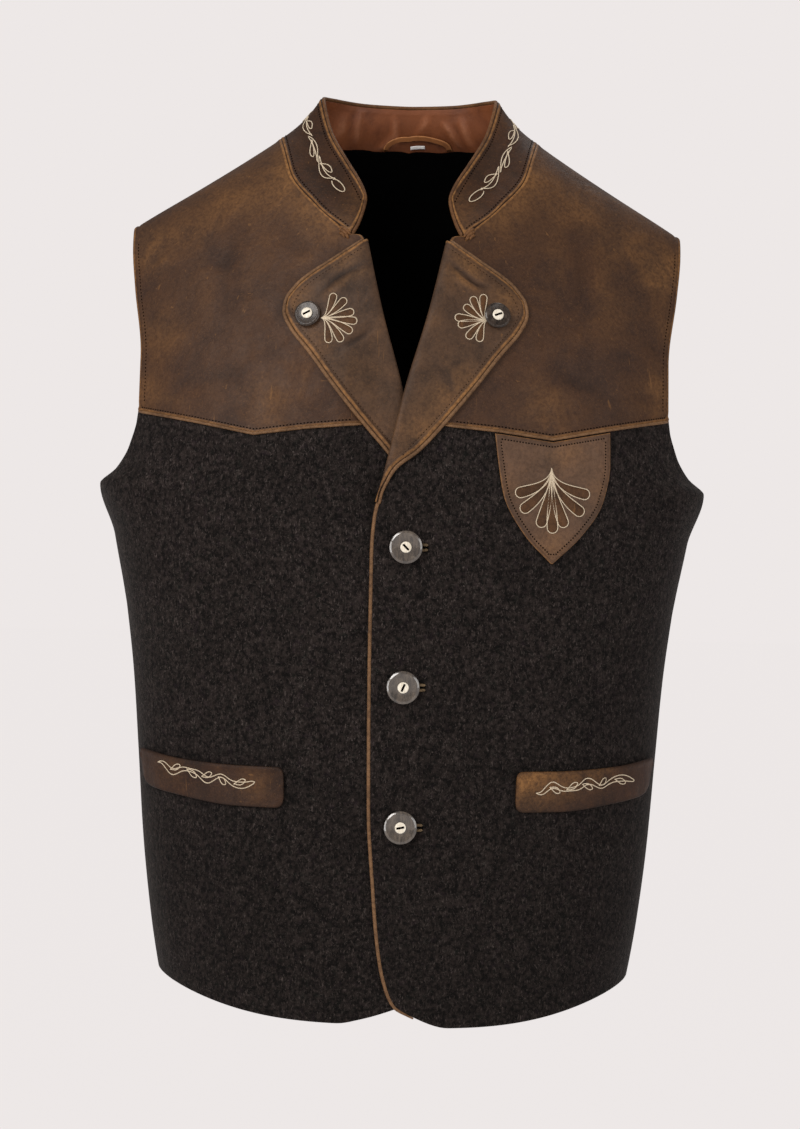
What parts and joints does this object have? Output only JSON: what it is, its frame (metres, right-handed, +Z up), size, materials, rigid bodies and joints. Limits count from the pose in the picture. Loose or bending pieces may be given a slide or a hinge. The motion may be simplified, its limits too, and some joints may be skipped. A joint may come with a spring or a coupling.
{
  "type": "embroidered folk vest",
  "caption": "Sleeveless wool felt vest with leather shoulder yokes, stand collar, rolled lapels, a shield patch, pocket welts and a buttoned front, filled out as worn.",
  "frame": {"origin": "midway between the wearer's shoulders, level with the neck seam on the shoulder line, where the shoulders carry the vest", "axes": "+Z up, the buttoned front faces -Y, +X is the wearer's left"},
  "size_m": [0.4512, 0.2368, 0.6814],
  "materials": {
    "wool felt": "matt charcoal felt",
    "brown leather": "worn, waxed",
    "facing leather": "smooth",
    "black lining": "plain weave",
    "horn": "polished horn",
    "bone": "satin bone",
    "label tape": "woven tape"
  },
  "bodies": {
    "root": {"back": "wool felt", "back_lining": "black lining", "button_1": "horn", "button_2": "horn", "button_3": "horn", "button_disc_1": "bone", "button_disc_2": "bone", "button_disc_3": "bone", "buttonhole_1": "brown leather", "buttonhole_2": "brown leather", "buttonhole_3": "brown leather", "chest_patch": "brown leather", "collar_facing": "facing leather", "collar_piping": "brown leather", "collar_stand": "brown leather", "front_left": "wool felt", "front_piping": "brown leather", "front_right": "wool felt", "hanger_loop": "brown leather", "lapel_button_disc_left": "bone", "lapel_button_disc_right": "bone", "lapel_button_left": "horn", "lapel_button_right": "horn", "lapel_left": "brown leather", "lapel_piping_left": "brown leather", "lapel_piping_right": "brown leather", "lapel_right": "brown leather", "pocket_welt_left": "brown leather", "pocket_welt_right": "brown leather", "size_label": "label tape", "yoke_left": "brown leather", "yoke_piping_left": "brown leather", "yoke_piping_right": "brown leather", "yoke_right": "brown leather"}
  },
  "joints": []
}
